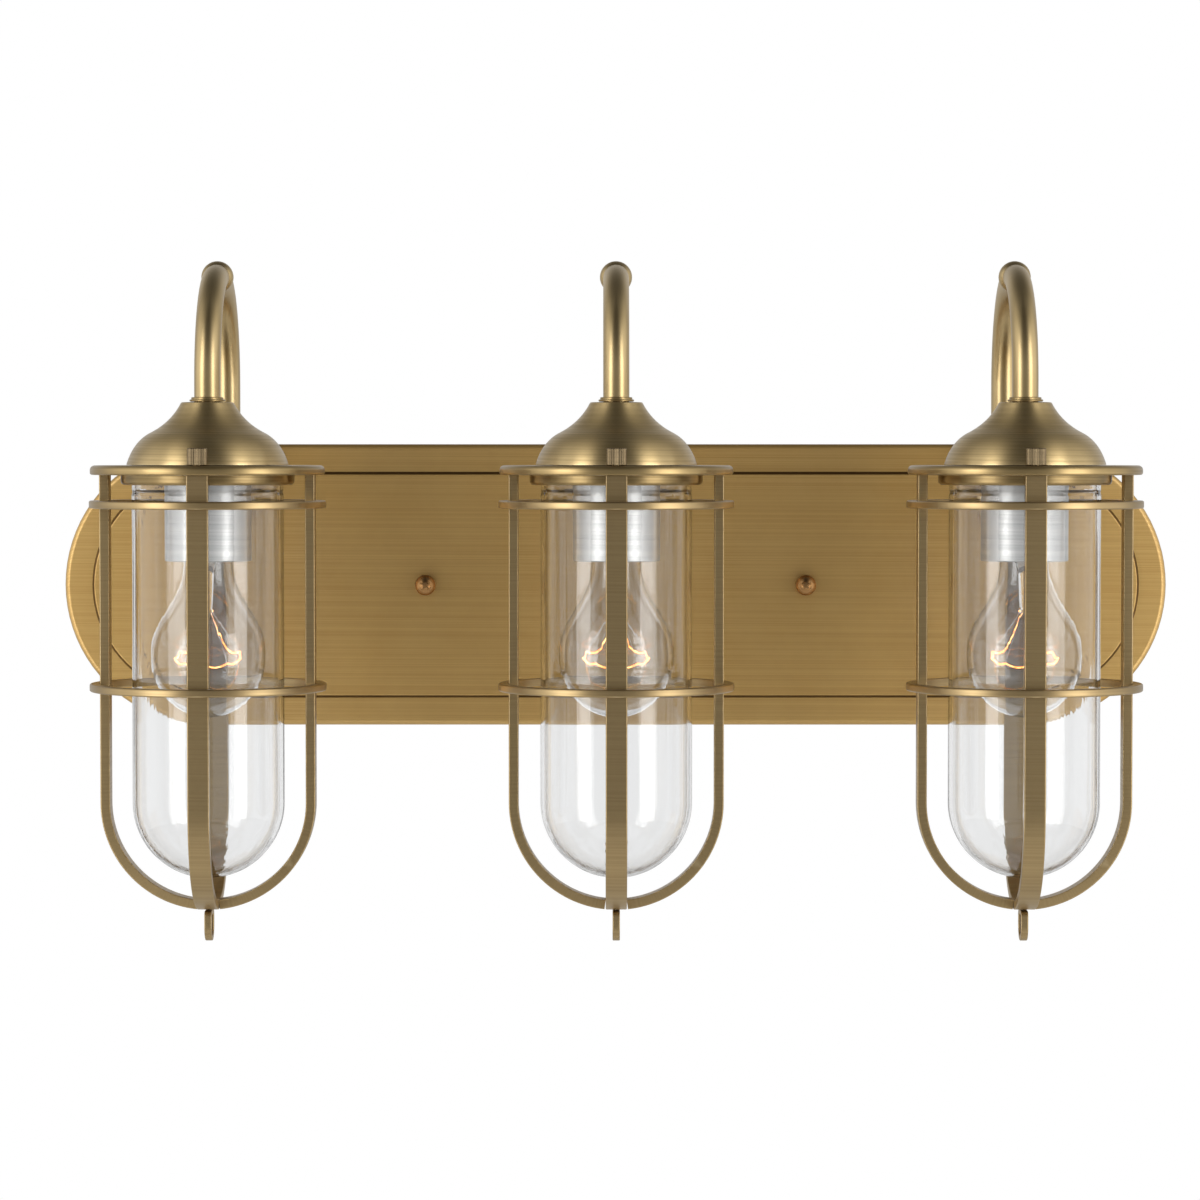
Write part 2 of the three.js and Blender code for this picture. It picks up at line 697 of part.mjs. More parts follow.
function lamp(name, x) {
  const group = new THREE.Group();
  group.position.set(x, -lampReach, HOLDER_HEIGHT);
  group.add(piece(`${name}_arm`, arm(), agedBrass));
  const collar = piece(`${name}_arm_collar`, armCollar(), agedBrass);
  collar.rotation.x = Math.PI / 2;
  collar.position.set(0, ARM_SPAN / 2, ARM_SPRING_HEIGHT + ARM_SPAN / 2);
  group.add(collar);
  group.add(piece(`${name}_cap_washer`, capWasher(), agedBrass));
  group.add(piece(`${name}_bell_cap`, bellCap(), agedBrass));
  group.add(piece(`${name}_shade_holder`, shadeHolder(), agedBrass));
  group.add(piece(`${name}_socket_cup`, socketCup(), nickel));
  group.add(piece(`${name}_socket_core`, socketCore(), porcelain));
  group.add(piece(`${name}_bulb_base`, bulbBase(), nickel));
  group.add(piece(`${name}_bulb_glass`, bulbGlass(), clearGlass));
  group.add(piece(`${name}_jar`, jar(), clearGlass));
  group.add(cage(name));
  for (const [side, y] of [["front", -strapMiddle], ["back", strapMiddle]]) {
    const nut = piece(`${name}_thumb_nut_${side}`, thumbNut(), coppery);
    nut.position.y = y;
    group.add(nut);
  }
  return group;
}

const group = new THREE.Group();
group.add(wallParts());
LAMP_NAMES.forEach((name, i) => group.add(lamp(name, (i - 1) * LAMP_SPACING)));

export default group;
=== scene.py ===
# The looks of a three-light vanity bar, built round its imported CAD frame.
#
# Metres. +X runs along the wall, -Y faces the room and +Z is up. Every piece takes its place and its main
# sizes from the CAD node that it stands for. The three lamps share their meshes: each mesh is made once
# about its lamp's own origin, which is on the lamp's axis at the top of its shade holder.

import math

import bmesh
import bpy
from mathutils import Matrix, Vector
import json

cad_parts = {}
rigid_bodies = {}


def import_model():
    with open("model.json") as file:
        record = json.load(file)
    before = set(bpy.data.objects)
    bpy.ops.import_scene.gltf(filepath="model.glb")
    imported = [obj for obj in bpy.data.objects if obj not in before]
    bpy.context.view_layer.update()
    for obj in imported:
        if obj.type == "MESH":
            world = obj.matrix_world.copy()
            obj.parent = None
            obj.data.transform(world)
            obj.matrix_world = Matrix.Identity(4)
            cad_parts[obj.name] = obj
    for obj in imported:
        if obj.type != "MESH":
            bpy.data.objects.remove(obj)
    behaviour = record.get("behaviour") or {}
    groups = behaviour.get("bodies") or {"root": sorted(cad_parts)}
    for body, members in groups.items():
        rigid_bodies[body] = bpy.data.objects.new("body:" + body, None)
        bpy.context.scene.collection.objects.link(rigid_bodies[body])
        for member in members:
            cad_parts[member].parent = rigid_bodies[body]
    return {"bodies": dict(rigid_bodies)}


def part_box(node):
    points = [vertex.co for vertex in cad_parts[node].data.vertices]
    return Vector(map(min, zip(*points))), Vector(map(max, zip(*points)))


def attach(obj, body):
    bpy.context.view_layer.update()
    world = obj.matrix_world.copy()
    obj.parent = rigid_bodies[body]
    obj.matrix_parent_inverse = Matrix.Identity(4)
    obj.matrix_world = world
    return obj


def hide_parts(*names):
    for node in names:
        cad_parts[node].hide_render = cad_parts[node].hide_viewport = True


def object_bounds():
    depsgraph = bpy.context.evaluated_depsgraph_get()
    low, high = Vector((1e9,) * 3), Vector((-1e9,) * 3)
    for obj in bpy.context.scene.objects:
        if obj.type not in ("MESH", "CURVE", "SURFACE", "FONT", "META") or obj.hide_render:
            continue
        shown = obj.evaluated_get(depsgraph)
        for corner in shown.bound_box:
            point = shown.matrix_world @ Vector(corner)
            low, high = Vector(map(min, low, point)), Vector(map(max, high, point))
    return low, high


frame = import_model()
cad_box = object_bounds()

# ---------------------------------------------------------------- sizes

MM = 0.001
LAMPS = ["left", "centre", "right"]

# Camera and room
LENS = 120  # millimetres, on a 36 mm sensor
CAMERA_BACK = 2.207  # from the backplate's face
CAMERA_RISE = 0.076
CAMERA_LEFT = 0.006
AIM_DROP = 0.0083
AIM_LEFT = 0.0086
ROOM_MIDDLE = -0.1  # in Y, about the middle of the light
FLOOR_DROP = 0.44  # from the lowest cage to the floor
FLOOR_RADIUS = 1.3
FLOOR_GLOW = 0.15
SOFTBOX_SIDE = 0.9
SOFTBOX_FRONT = 0.9
SOFTBOX_RISE = 0.05
SOFTBOX_WIDTH = 0.5
SOFTBOX_HEIGHT = 1.6
SOFTBOX_WATTS = 7

# Details that the frame's boxes don't give
PLATE_WALL = 1.5 * MM
PLATE_EDGE = 3 * MM
BAND_WIDTH = 15.3 * MM
STEP_RISE = 3 * MM
STEP_RUN = 2.5 * MM
TUBE_WALL = 1.3 * MM
ARM_SPAN = 113 * MM
ARM_TAIL = 8 * MM
ARM_TONGUE = 6 * MM
ELBOW_RADIUS = 16 * MM
TUBE_RADIUS = 6.8 * MM
FOOT_RADIUS = 17 * MM
FOOT_THICKNESS = 5 * MM
STUD_RADIUS = 2 * MM
STRAP_THICKNESS = 5 * MM
TOUCHING_GAP = 0.3 * MM  # between pieces that are brazed or bolted together
SMALL_EDGE = 0.4 * MM
PLATE_FACETS = 36  # sides of the CAD's round outline, whose flats lie inside the true round

# Sides of the round shapes
FINE = 128
ROUND = 96
SMALL = 48

INTO_ROOM = Matrix.Rotation(math.pi / 2, 4, "X")  # turns Z to -Y


# ---------------------------------------------------------------- mesh helpers

def rounded(corners, closed=False, steps=5):
    """Points along straight lines through (x, y, radius) corners, with each corner rounded."""
    points = []
    count = len(corners)
    for i, corner in enumerate(corners):
        here = Vector(corner[:2])
        radius = corner[2] if len(corner) > 2 else 0
        if not radius or (not closed and i in (0, count - 1)):
            points.append(here)
            continue
        before = Vector(corners[i - 1][:2]) - here
        after = Vector(corners[(i + 1) % count][:2]) - here
        half = before.angle(after) / 2
        reach = min(radius / math.tan(half), before.length / 2, after.length / 2)
        towards = (before.normalized() + after.normalized()).normalized()
        centre = here + towards * (reach / math.cos(half))
        start = here + before.normalized() * reach - centre
        end = here + after.normalized() * reach - centre
        turn = start.angle(end)
        for step in range(steps + 1):
            t = step / steps
            along = start * math.sin((1 - t) * turn) + end * math.sin(t * turn)
            points.append(centre + along / math.sin(turn))
    return points


def bezier(a, b, c, steps=12):
    """Points on a quadratic curve from a to c, after a itself."""
    a, b, c = Vector(a), Vector(b), Vector(c)
    ts = [(i + 1) / steps for i in range(steps)]
    return [a * (1 - t) ** 2 + b * 2 * t * (1 - t) + c * t * t for t in ts]


def arc(centre, radius, start, end, steps):
    """Points on an arc in degrees, both ends included."""
    turns = [math.radians(start + (end - start) * i / steps) for i in range(steps + 1)]
    return [Vector((centre[0] + radius * math.cos(t), centre[1] + radius * math.sin(t))) for t in turns]


def offset(profile, distance):
    """An open profile moved sideways, to the left of the way that it runs."""
    normals = []
    for a, b in zip(profile, profile[1:]):
        along = (b - a).normalized()
        normals.append(Vector((-along.y, along.x)))
    moved = []
    for i, point in enumerate(profile):
        before = normals[max(i - 1, 0)]
        after = normals[min(i, len(normals) - 1)]
        mitre = (before + after).normalized()
        moved.append(point + mitre * (distance / max(mitre.dot(before), 0.3)))
    return moved


def lengths(points):
    """How far along a row of points each one lies."""
    total = [0.0]
    for a, b in zip(points, points[1:]):
        total.append(total[-1] + (b - a).length)
    return total


def add_grid(bm, rows, closed_rows=False, finish=0, place=Matrix()):
    """Adds faces through closed rows of points. The brush map's U runs from row to row, and V along a row."""
    rows = [[place @ Vector(p) for p in [*row, row[0]]] for row in rows]
    if closed_rows:
        rows.append(rows[0])
    across = lengths([row[0] for row in rows])
    along = max((lengths(row) for row in rows), key=lambda run: run[-1])
    made = [[bm.verts.new(p) for p in row] for row in rows]
    layer = bm.loops.layers.uv.verify()
    for i in range(len(rows) - 1):
        for j in range(len(along) - 1):
            corners = [(i, j), (i, j + 1), (i + 1, j + 1), (i + 1, j)]
            face = bm.faces.new([made[r][c] for r, c in corners])
            face.material_index = finish
            face.smooth = True
            for loop, (r, c) in zip(face.loops, corners):
                loop[layer].uv = (across[r], along[c])


def add_turned(bm, profile, sides, closed=False, finish=0, thread=None, place=Matrix()):
    """Adds a profile of (radius, height) turned about Z. A thread is (pitch, depth, from, to)."""
    rows = []
    for radius, height in profile:
        row = []
        for k in range(sides):
            turn = 2 * math.pi * k / sides
            r = radius
            if thread and thread[2] <= height <= thread[3]:
                r += thread[1] * math.cos(2 * math.pi * height / thread[0] - turn) / 2
            row.append((r * math.cos(turn), r * math.sin(turn), height))
        rows.append(row)
    add_grid(bm, rows, closed, finish, place)


def add_swept(bm, path, section, side, closed=False):
    """Adds a section of (sideways, outwards) swept along a path, with flat ends unless the path is closed."""
    rows = []
    count = len(path)
    for i, point in enumerate(path):
        before = path[i - 1] if closed or i else point
        after = path[(i + 1) % count] if closed or i < count - 1 else point
        outwards = (after - before).normalized().cross(side)
        rows.append([point + side * u + outwards * v for u, v in section])
    add_grid(bm, rows, closed)
    if not closed:
        add_ends(bm, rows)


def add_ends(bm, rows):
    """Adds a flat face over the first row and one over the last."""
    for row in (rows[0], rows[-1]):
        bm.faces.new([bm.verts.new(p) for p in row])


def ring_about(middle, side, out, radius, count):
    """Points on a circle in the plane of two directions at right angles."""
    turns = [2 * math.pi * k / count for k in range(count)]
    return [middle + (side * math.cos(t) + out * math.sin(t)) * radius for t in turns]


def finished(bm, name, sharp=35):
    """A mesh from the shapes gathered in bm: merged, with its faces pointing out and its edges marked."""
    bmesh.ops.remove_doubles(bm, verts=bm.verts, dist=1e-6)
    bmesh.ops.dissolve_degenerate(bm, edges=bm.edges, dist=1e-7)
    bmesh.ops.recalc_face_normals(bm, faces=bm.faces)
    mesh = bpy.data.meshes.new(name)
    bm.to_mesh(mesh)
    bm.free()
    if mesh.uv_layers:
        mesh.uv_layers[0].name = "Brush"
    mesh.set_sharp_from_angle(angle=math.radians(sharp))
    return mesh


def turned(name, profile, sides=ROUND, closed=False):
    bm = bmesh.new()
    add_turned(bm, profile, sides, closed)
    return finished(bm, name)


def put(name, mesh, materials, body, nodes=(), place=None):
    """Shows a mesh as a piece that rides on a body and stands for some CAD nodes."""
    shown = bpy.data.objects.new(name, mesh)
    bpy.context.scene.collection.objects.link(shown)
    if not mesh.materials:
        for material in materials:
            mesh.materials.append(material)
    if place is not None:
        shown.matrix_world = place
    weighted = shown.modifiers.new("Weighted", "WEIGHTED_NORMAL")
    weighted.keep_sharp = True
    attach(shown, body)
    if nodes:
        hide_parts(*nodes)
    return shown


# ---------------------------------------------------------------- material helpers

class Nodes:
    """The node tree of a material or a world, with short calls to add nodes and link them."""

    def __init__(self, owner, output):
        owner.use_nodes = True
        self.owner = owner
        self.tree = owner.node_tree
        self.tree.nodes.clear()
        self.output = self.add(output)

    def add(self, kind, inputs=None, **settings):
        node = self.tree.nodes.new("ShaderNode" + kind)
        for key, value in settings.items():
            setattr(node, key, value)
        for key, value in (inputs or {}).items():
            self.feed(node.inputs[key], value)
        return node

    def feed(self, socket, value):
        if isinstance(value, bpy.types.NodeSocket):
            self.tree.links.new(value, socket)
        else:
            socket.default_value = value

    def math(self, operation, a, b=0.0, clamp=False):
        return self.add("Math", {0: a, 1: b}, operation=operation, use_clamp=clamp).outputs[0]

    def vector(self, operation, a, b):
        return self.add("VectorMath", {0: a, 1: b}, operation=operation).outputs[0]

    def mix(self, share, a, b):
        node = self.add("Mix", data_type="RGBA")
        for socket, value in zip((node.inputs[0], node.inputs[6], node.inputs[7]), (share, a, b)):
            self.feed(socket, value)
        return node.outputs[2]

    def span(self, value, low, high, to_low=0.0, to_high=1.0):
        inputs = {0: value, 1: low, 2: high, 3: to_low, 4: to_high}
        return self.add("MapRange", inputs, interpolation_type="SMOOTHSTEP").outputs[0]

    def noise(self, place, scale, detail=3.0, roughness=0.55):
        inputs = {"Vector": place, "Scale": scale, "Detail": detail, "Roughness": roughness}
        return self.add("TexNoise", inputs).outputs["Fac"]

    def object_place(self):
        return self.add("TexCoord").outputs["Object"]

    def pointiness(self):
        """How sharply the surface bends out, from 0 in a crease to 1 on a ridge, and 0.5 where it is flat."""
        return self.add("NewGeometry").outputs["Pointiness"]

    def surface(self, shader):
        """Links the tree's last shader to its output, and gives the tree's owner back."""
        self.feed(self.output.inputs["Surface"], shader)
        return self.owner


def material_nodes(name):
    return Nodes(bpy.data.materials.new(name), "OutputMaterial")


def rgb(red, green, blue):
    """A linear colour from a screen colour of 0 to 255."""
    shares = [c / 255 for c in (red, green, blue)]
    return [s / 12.92 if s <= 0.04045 else ((s + 0.055) / 1.055) ** 2.4 for s in shares] + [1.0]


def brushed(
    name, dark, light, worn, roughness, anisotropy,
    grain=900, along=14, streak=0.6, bump=0.1, coat=0.0, wear_from=0.52,
):
    """Brushed metal with fine lines along the brush map's V, painted shade in its creases and worn edges.

    Across the lines there are grain of them to a metre, and along them their tone changes along times in a
    metre. streak is how much of the tone is lines, and not clouds.
    """
    n = material_nodes(name)
    place = n.object_place()
    slow = n.vector("MULTIPLY", place, (along, along, along))
    across = n.add("SeparateXYZ", {0: n.add("UVMap", uv_map="Brush").outputs[0]}).outputs[0]

    def streaks(spacing, detail, rough):
        line = n.add("CombineXYZ", {0: n.math("MULTIPLY", across, spacing)}).outputs[0]
        return n.span(n.noise(n.vector("ADD", slow, line), 1.0, detail, rough), 0.3, 0.7)

    lines = streaks(float(grain), 4.0, 0.6)
    broad = streaks(grain / 5.0, 2.0, 0.55)
    clouds = n.noise(place, 34.0, 4.0)
    tone = n.math("MULTIPLY", lines, streak)
    for share in (broad, n.span(clouds, 0.3, 0.7)):
        tone = n.math("ADD", tone, n.math("MULTIPLY", share, (1 - streak) / 2))
    colour = n.mix(tone, dark, light)
    bend = n.pointiness()
    edge = n.span(bend, wear_from, wear_from + 0.1)
    edge = n.math("MULTIPLY", edge, n.span(clouds, 0.25, 0.6, 0.35, 0.85))
    colour = n.mix(edge, colour, worn)
    # Painted shade: creases are darkened towards a third of the dark tone.
    crease_shade = [share * 0.3 for share in dark[:3]] + [1.0]
    colour = n.mix(n.span(bend, 0.41, 0.487, 0.9, 0.0), colour, crease_shade)
    rough = n.span(tone, 0.0, 1.0, roughness + 0.1 * streak, roughness - 0.08 * streak)
    normal = n.add("Bump", {"Strength": bump, "Distance": 0.05 * MM, "Height": lines}).outputs[0]
    shader = n.add("BsdfPrincipled", {
        "Base Color": colour,
        "Metallic": 1.0,
        "Roughness": rough,
        "Anisotropic": anisotropy,
        "Coat Weight": coat,
        "Coat Roughness": 0.28,
        "Normal": normal,
        "Tangent": n.add("Tangent", direction_type="UV_MAP", uv_map="Brush").outputs[0],
    })
    return n.surface(shader.outputs[0])


def clear_glass(name, tint, waviness):
    """Clear moulded glass with fine upright waves. Shadow rays pass, so that what it covers is lit."""
    n = material_nodes(name)
    place = n.object_place()
    broad = n.noise(n.vector("MULTIPLY", place, (1.0, 1.0, 0.03)), 60.0, 2.0)
    fine = n.noise(n.vector("MULTIPLY", place, (1.0, 1.0, 0.015)), 260.0, 2.0)
    waves = n.math("ADD", broad, n.math("MULTIPLY", fine, 0.4))
    specks = n.noise(place, 900.0, 2.0)
    normal = n.add("Bump", {"Strength": waviness, "Distance": 0.6 * MM, "Height": waves}).outputs[0]
    glass = n.add("BsdfPrincipled", {
        "Base Color": tint,
        "Roughness": n.span(specks, 0.62, 0.75, 0.0, 0.08),
        "IOR": 1.47,
        "Transmission Weight": 1.0,
        "Normal": normal,
    })
    clear = n.add("BsdfTransparent", {"Color": tint})
    shadow = n.add("LightPath").outputs["Is Shadow Ray"]
    mixed = n.add("MixShader", {0: shadow, 1: glass.outputs[0], 2: clear.outputs[0]})
    return n.surface(mixed.outputs[0])


def porcelain():
    """Glazed white ceramic with a faint speckle."""
    n = material_nodes("glazed_porcelain")
    place = n.object_place()
    speckle = n.span(n.noise(place, 420.0, 3.0), 0.55, 0.8)
    cloud = n.noise(place, 60.0)
    colour = n.mix(cloud, rgb(236, 232, 222), rgb(246, 244, 238))
    colour = n.mix(n.math("MULTIPLY", speckle, 0.3), colour, rgb(196, 186, 168))
    rough = n.span(cloud, 0.3, 0.7, 0.12, 0.25)
    shader = n.add("BsdfPrincipled", {"Base Color": colour, "Roughness": rough, "Coat Weight": 0.4})
    return n.surface(shader.outputs[0])


def painted(name, low, high, metallic):
    """A thin coloured coat with a soft mottle and rubbed edges."""
    n = material_nodes(name)
    mottle = n.noise(n.object_place(), 300.0)
    edge = n.span(n.pointiness(), 0.53, 0.62)
    colour = n.mix(n.math("MULTIPLY", edge, 0.5), n.mix(mottle, low, high), rgb(180, 185, 175))
    rough = n.span(mottle, 0.3, 0.7, 0.3, 0.45)
    shader = n.add("BsdfPrincipled", {"Base Color": colour, "Metallic": metallic, "Roughness": rough})
    return n.surface(shader.outputs[0])


def glowing():
    """A tungsten coil, hottest where its noise is."""
    n = material_nodes("hot_tungsten")
    heat = n.noise(n.object_place(), 240.0)
    colour = n.mix(n.span(heat, 0.35, 0.65), rgb(255, 136, 48), rgb(255, 190, 110))
    shader = n.add("BsdfPrincipled", {
        "Base Color": rgb(120, 110, 100),
        "Metallic": 1.0,
        "Roughness": 0.5,
        "Emission Color": colour,
        "Emission Strength": 5.0,
    })
    return n.surface(shader.outputs[0])


plate_brass = brushed(
    "plate_brass", rgb(182, 146, 82), rgb(202, 168, 104), rgb(224, 200, 146), 0.5, 0.3,
    grain=1500, along=6, bump=0.04, coat=0.7,
)
# A darker copy of the plate's brass, painted shade on the step's riser.
step_shade_brass = brushed(
    "step_shade_brass", rgb(84, 66, 38), rgb(108, 86, 52), rgb(150, 126, 84), 0.5, 0.3,
    grain=1500, along=6,
)
lamp_brass = brushed(
    "lamp_brass", rgb(162, 140, 96), rgb(200, 176, 128), rgb(220, 202, 160), 0.38, 0.74,
    coat=0.3,
)
# A darker copy of the lamp brass, as painted shade on the shade holder and the stacked washer.
shaded_lamp_brass = brushed(
    "shaded_lamp_brass", rgb(146, 124, 82), rgb(180, 156, 110), rgb(208, 188, 144), 0.38, 0.7,
    coat=0.2,
)
arm_brass = brushed(
    "arm_brass", rgb(176, 154, 110), rgb(192, 170, 126), rgb(220, 202, 160), 0.33, 0.3,
    grain=120, streak=0.08, bump=0.002, coat=0.2, wear_from=0.7,
)
cage_brass = brushed(
    "cage_brass", rgb(154, 132, 94), rgb(173, 150, 108), rgb(202, 182, 142), 0.38, 0.5,
    bump=0.05, coat=0.2, wear_from=0.56,
)
nut_brass = brushed(
    "nut_brass", rgb(102, 88, 66), rgb(130, 114, 88), rgb(172, 154, 122), 0.36, 0.3,
    bump=0.05,
)
copper_brass = brushed(
    "copper_brass", rgb(150, 112, 70), rgb(178, 138, 92), rgb(206, 170, 122), 0.26, 0.2,
    grain=300, bump=0.02, wear_from=0.66,
)
satin_nickel = brushed("satin_nickel", rgb(176, 177, 178), rgb(204, 204, 202), rgb(222, 222, 219), 0.42, 0.5)
zinc = brushed("zinc_plate", rgb(170, 173, 176), rgb(200, 203, 205), rgb(220, 222, 224), 0.38, 0.3, grain=260)
green_zinc = painted("green_zinc", rgb(52, 110, 62), rgb(74, 140, 82), 0.6)
glaze = porcelain()
jar_glass = clear_glass("jar_glass", (0.905, 0.908, 0.91, 1.0), 0.3)
bulb_glass = clear_glass("bulb_glass", (0.985, 0.985, 0.985, 1.0), 0.03)
tungsten = glowing()
dark_glass = painted("dark_glass", rgb(24, 22, 26), rgb(38, 36, 42), 0.0)


# ---------------------------------------------------------------- places from the frame

def size_of(node):
    """A CAD node's size along X, Y and Z."""
    low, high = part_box(node)
    return high - low


def middle_of(node):
    low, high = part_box(node)
    return (low + high) / 2


def origin_of(lamp):
    """The point on a lamp's axis at the top of its shade holder, which its meshes are made about."""
    low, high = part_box(f"{lamp}_shade_holder")
    return Vector(((low.x + high.x) / 2, (low.y + high.y) / 2, high.z))


def local(part):
    """A lamp part's box, seen from its lamp's origin."""
    low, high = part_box(f"{LAMPS[0]}_{part}")
    origin = origin_of(LAMPS[0])
    return low - origin, high - origin


def put_on_lamps(piece, mesh, materials, part="", body="fixture"):
    """Shows a lamp's mesh on all three lamps. A body that belongs to the lamps is named by its ending."""
    for lamp in LAMPS:
        nodes = [f"{lamp}_{part}"] if part else []
        rides_on = body if body in frame["bodies"] else f"{lamp}_{body}"
        place = Matrix.Translation(origin_of(lamp))
        put(f"{lamp}_{piece}", mesh, materials, rides_on, nodes, place)


# ---------------------------------------------------------------- backplate and mounting

def stadium_rows(profile, reach, steps=40):
    """Rows round a pair of half circles that are reach from the middle, one for each profile point."""
    turns = [-math.pi / 2 + math.pi * i / steps for i in range(steps + 1)]
    rows = []
    for radius, depth in profile:
        right = [(reach + radius * math.cos(t), -depth, radius * math.sin(t)) for t in turns]
        left = [(-reach - radius * math.cos(t), -depth, -radius * math.sin(t)) for t in turns]
        rows.append([*right, *left])
    return rows


def backplate():
    """The pan, with a flat band round a raised panel. The riser between them is painted shade, in a darker
    brass.
    """
    size = size_of("backplate")
    radius = size.z / 2 / math.cos(math.pi / PLATE_FACETS)
    depth = size.y
    reach = size.x / 2 - radius
    band = radius - BAND_WIDTH
    band_depth = depth - STEP_RISE
    front = rounded([
        (0, depth),
        (band - STEP_RUN * 0.6, depth, 0.6 * MM),
        (band - STEP_RUN * 0.2, band_depth + STEP_RISE * 0.4),
        (band, band_depth, 0.2 * MM),
        (radius, band_depth, PLATE_EDGE),
        (radius, 0),
    ], steps=6)
    inside = offset(front, -PLATE_WALL)
    inside[0].x = 0
    bm = bmesh.new()
    add_grid(bm, stadium_rows([*front, *reversed(inside)], reach))
    mesh = finished(bm, "stadium_pan")
    layer = mesh.uv_layers["Brush"]
    for loop, spot in zip(mesh.loops, layer.data):
        point = mesh.vertices[loop.vertex_index].co
        spot.uv = (point.z + point.y, point.x)
    # The faces of the step's riser take the darker brass, as painted shade.
    for face in mesh.polygons:
        out = math.hypot(max(abs(face.center.x) - reach, 0), face.center.z)
        rise = -face.center.y - band_depth
        on_step = abs(out - band) < STEP_RUN * 0.7 and -0.02 * MM < rise < STEP_RISE * 0.7
        steep = -0.98 < face.normal.y < 0.2
        face.material_index = 1 if on_step and steep else 0
    place = Matrix.Translation(Vector((middle_of("backplate").x, 0, middle_of("backplate").z)))
    put("stadium_pan", mesh, [plate_brass, step_shade_brass], "fixture", ["backplate"], place)


def slot_loop(length, width, x, steps=16):
    """The outline of a slot with round ends, whose middle is at x."""
    half = (length - width) / 2
    return arc((x + half, 0), width / 2, -90, 90, steps) + arc((x - half, 0), width / 2, 90, 270, steps)


def flat_bar(outline, holes, thickness, edge):
    """A mesh of a bevelled plate in X and Z, from a filled curve, with its middle plane at Y 0."""
    curve = bpy.data.curves.new("flat_bar", "CURVE")
    curve.dimensions = "2D"
    curve.fill_mode = "BOTH"
    curve.extrude = thickness / 2 - edge
    curve.bevel_depth = edge
    curve.bevel_resolution = 2
    curve.offset = -edge
    for loop in [outline, *holes]:
        spline = curve.splines.new("POLY")
        spline.points.add(len(loop) - 1)
        for point, (x, y) in zip(spline.points, loop):
            point.co = (x, y, 0, 1)
        spline.use_cyclic_u = True
    holder = bpy.data.objects.new("flat_bar", curve)
    mesh = bpy.data.meshes.new_from_object(holder)
    bpy.data.objects.remove(holder)
    mesh.transform(Matrix.Rotation(math.pi / 2, 4, "X"))
    return mesh


def add_wall_stud(bm, x, thickness, tip):
    """Adds a threaded stud that points into the room, from the middle of a bar this thick to its tip."""
    foot = thickness / 2
    thread_depth = 0.3 * MM
    core = STUD_RADIUS - thread_depth / 2
    chamfer = 0.4 * MM
    turns = 24
    steps = 180
    profile = [(0, foot)]
    profile += [(core, foot + (tip - foot - chamfer) * i / steps) for i in range(steps + 1)]
    profile += [(STUD_RADIUS - 0.5 * MM, tip), (0, tip)]
    thread = ((tip - thickness) / turns, thread_depth, thickness * 1.2, tip - chamfer * 1.5)
    place = Matrix.Translation((x, 0, 0)) @ INTO_ROOM
    add_turned(bm, profile, 24, thread=thread, place=place)


def mounting_bar():
    """The slotted bar on the wall, with a tapped hole for its ground screw and two studs."""
    low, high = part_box("mounting_bar")
    thickness = 2 * MM
    slot_place = 42 * MM
    stud_place = middle_of("ball_nut_right").x
    ground = middle_of("ground_screw").x
    outline = slot_loop(high.x - low.x, high.z - low.z, 0)
    holes = [slot_loop(24 * MM, 5 * MM, side * slot_place) for side in (-1, 1)]
    holes.append(arc((ground, 0), 2 * MM, 0, 345, 23))
    bm = bmesh.new()
    bm.from_mesh(flat_bar(outline, holes, thickness, 0.3 * MM))
    layer = bm.loops.layers.uv.verify()
    for vertex in bm.verts:
        vertex.co.y -= thickness / 2
    for face in bm.faces:
        for loop in face.loops:
            loop[layer].uv = (loop.vert.co.z, loop.vert.co.x)
    for side in (-1, 1):
        add_wall_stud(bm, side * stud_place, thickness, -low.y)
    put("slotted_bar", finished(bm, "slotted_bar"), [zinc], "fixture", ["mounting_bar"])


def facing_room(node):
    """Stands a piece that is turned about Z on the back of its node's box, pointing into the room."""
    low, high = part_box(node)
    back = Vector(((low.x + high.x) / 2, high.y, (low.z + high.z) / 2))
    return Matrix.Translation(back) @ INTO_ROOM


def ball_nuts():
    size = size_of("ball_nut_left")
    radius = size.x / 2
    height = size.y
    centre = height - radius
    skirt = radius * 0.8
    skirt_height = 1.6 * MM
    lowest = -math.degrees(math.asin((centre - skirt_height) / radius))
    bore = 2.5 * MM
    profile = [Vector((0, height * 0.7)), Vector((bore, height * 0.7)), Vector((bore, 0))]
    profile += rounded([(bore, 0), (skirt, 0, SMALL_EDGE), (skirt, skirt_height)])[1:]
    profile += arc((0, centre), radius, lowest, 90, 28)[1:]
    mesh = turned("polished_ball", profile, SMALL * 2)
    for side in ("left", "right"):
        node = f"ball_nut_{side}"
        put(f"polished_ball_{side}", mesh, [copper_brass], node, [node], facing_room(node))


def ground_screw():
    low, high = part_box("ground_screw")
    radius = (high.x - low.x) / 2
    head = 2.4 * MM
    length = high.y - low.y
    shank = 1.7 * MM
    recess = 1 * MM
    outline = [
        (0, 0),
        (shank, 0, 0.3 * MM),
        (shank, length - head),
        (radius, length - head, 0.3 * MM),
        (radius, length, 1.2 * MM),
        (1.6 * MM, length),
        (1.2 * MM, length - recess),
        (0, length - recess),
    ]
    mesh = turned("green_screw", rounded(outline), SMALL)
    place = facing_room("ground_screw")
    put("green_screw", mesh, [green_zinc], "fixture", ["ground_screw"], place)


# ---------------------------------------------------------------- arm

